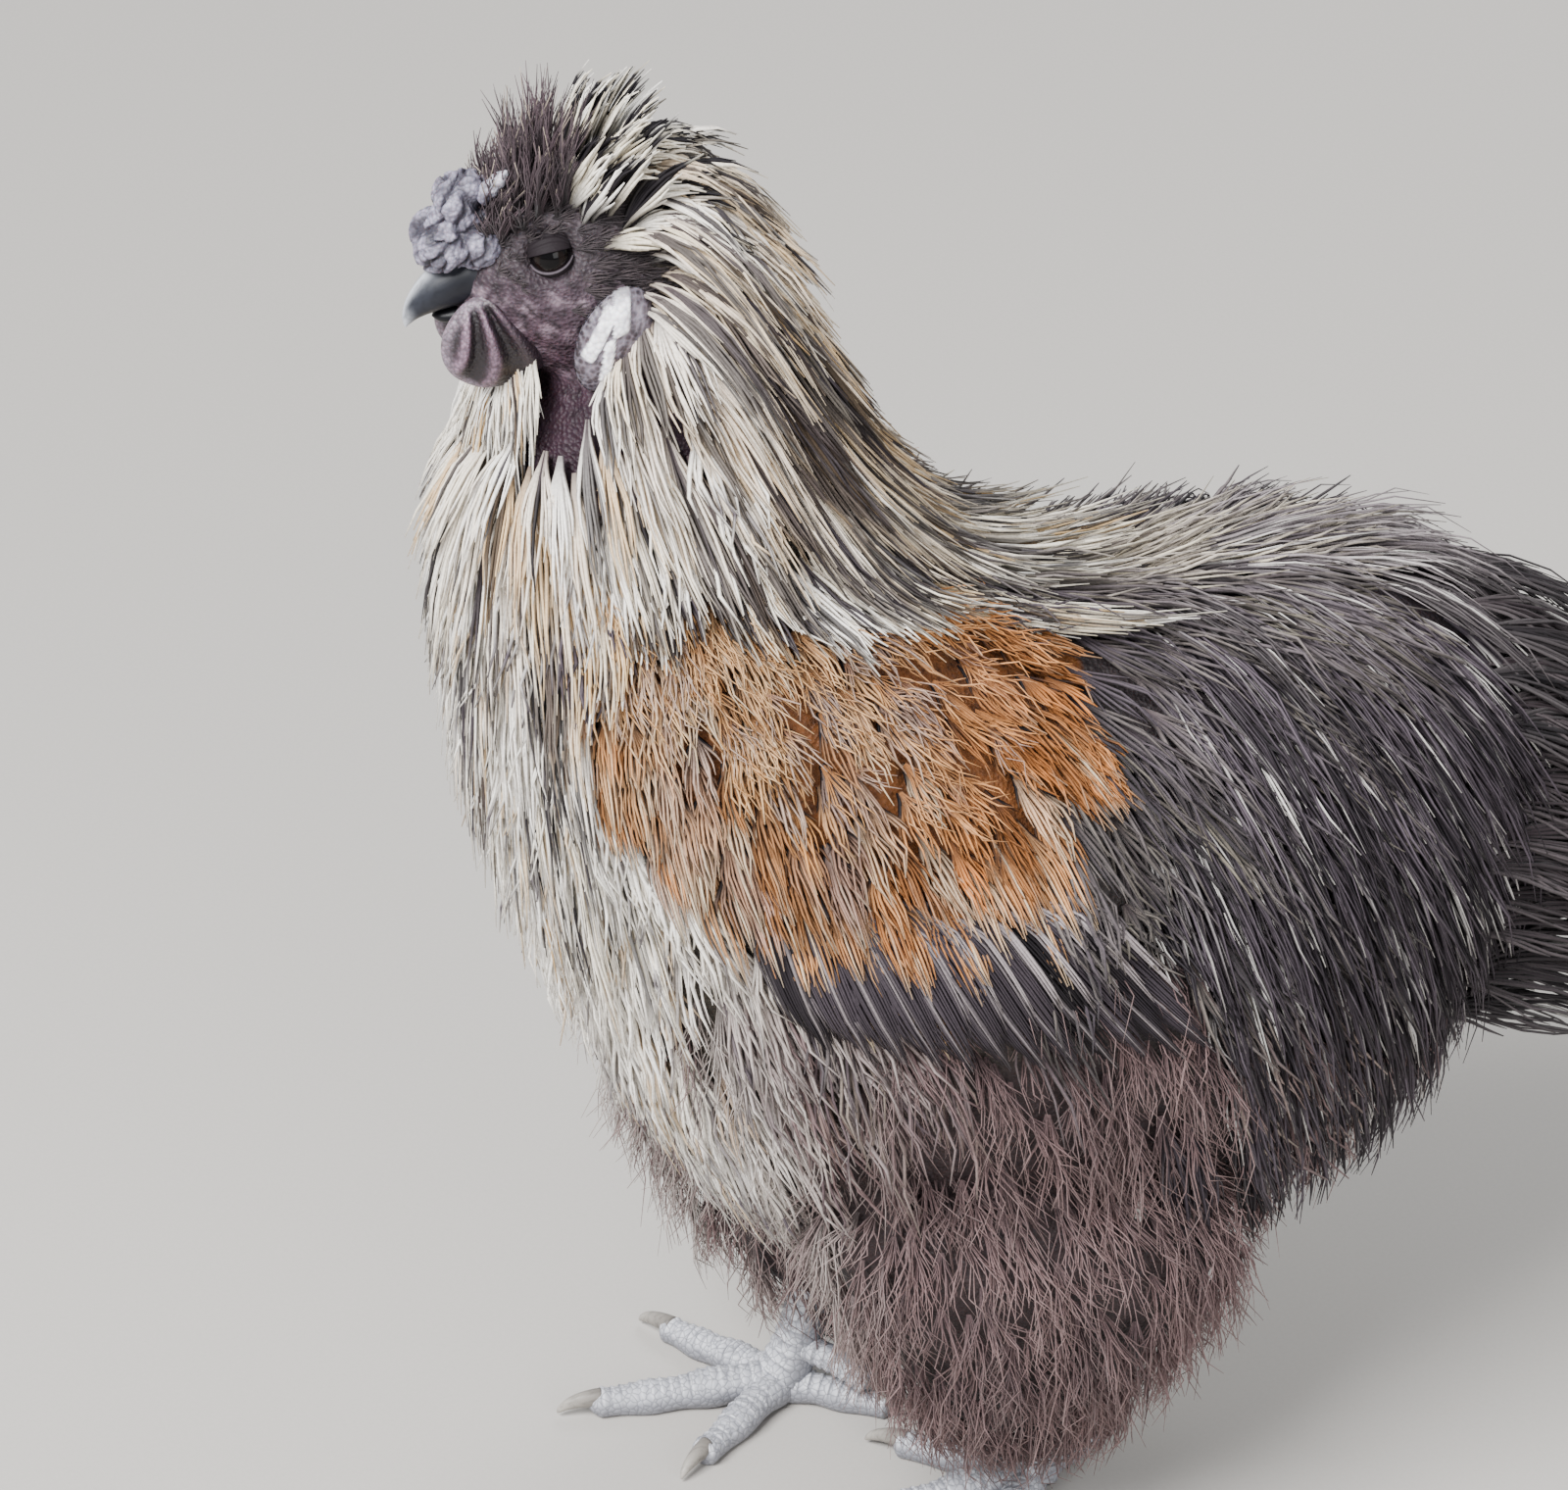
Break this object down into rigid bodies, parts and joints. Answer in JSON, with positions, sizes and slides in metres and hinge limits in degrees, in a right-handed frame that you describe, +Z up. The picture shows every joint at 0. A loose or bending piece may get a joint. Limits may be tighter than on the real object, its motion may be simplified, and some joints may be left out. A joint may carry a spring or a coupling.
{
  "type": "silkie-cross cockerel, standing",
  "caption": "Life-size still model of a bantam silkie-cross cockerel standing with one foot forward, with crest, walnut comb, hackle, folded wings and soft drooping tail.",
  "frame": {"origin": "on the floor under the middle of the bird's outline seen from above", "axes": "+Z up, the bird faces -Y, +X is its left side"},
  "size_m": [0.1614, 0.2938, 0.3497],
  "materials": {
    "head_finish": "bare skin and short down",
    "bill_upper_finish": "smooth horn",
    "bill_lower_finish": "smooth horn",
    "comb_finish": "rough fleshy",
    "wattle_left_finish": "folded fleshy",
    "wattle_right_finish": "folded fleshy",
    "earlobe_left_finish": "smooth fleshy",
    "earlobe_right_finish": "smooth fleshy",
    "eye_left_finish": "wet gloss",
    "eye_right_finish": "wet gloss",
    "crest_finish": "feathered",
    "neck_finish": "feathered",
    "torso_finish": "feathered",
    "rump_finish": "feathered",
    "tail_finish": "feathered",
    "wing_left_finish": "feathered",
    "wing_right_finish": "feathered",
    "thigh_left_finish": "downy",
    "thigh_right_finish": "downy",
    "foot_left_finish": "scaly",
    "foot_right_finish": "scaly"
  },
  "bodies": {
    "root": {"head": "head_finish", "bill_upper": "bill_upper_finish", "bill_lower": "bill_lower_finish", "comb": "comb_finish", "wattle_left": "wattle_left_finish", "wattle_right": "wattle_right_finish", "earlobe_left": "earlobe_left_finish", "earlobe_right": "earlobe_right_finish", "eye_left": "eye_left_finish", "eye_right": "eye_right_finish", "crest": "crest_finish", "neck": "neck_finish", "torso": "torso_finish", "rump": "rump_finish", "tail": "tail_finish", "wing_left": "wing_left_finish", "wing_right": "wing_right_finish", "thigh_left": "thigh_left_finish", "thigh_right": "thigh_right_finish", "foot_left": "foot_left_finish", "foot_right": "foot_right_finish"}
  },
  "joints": []
}
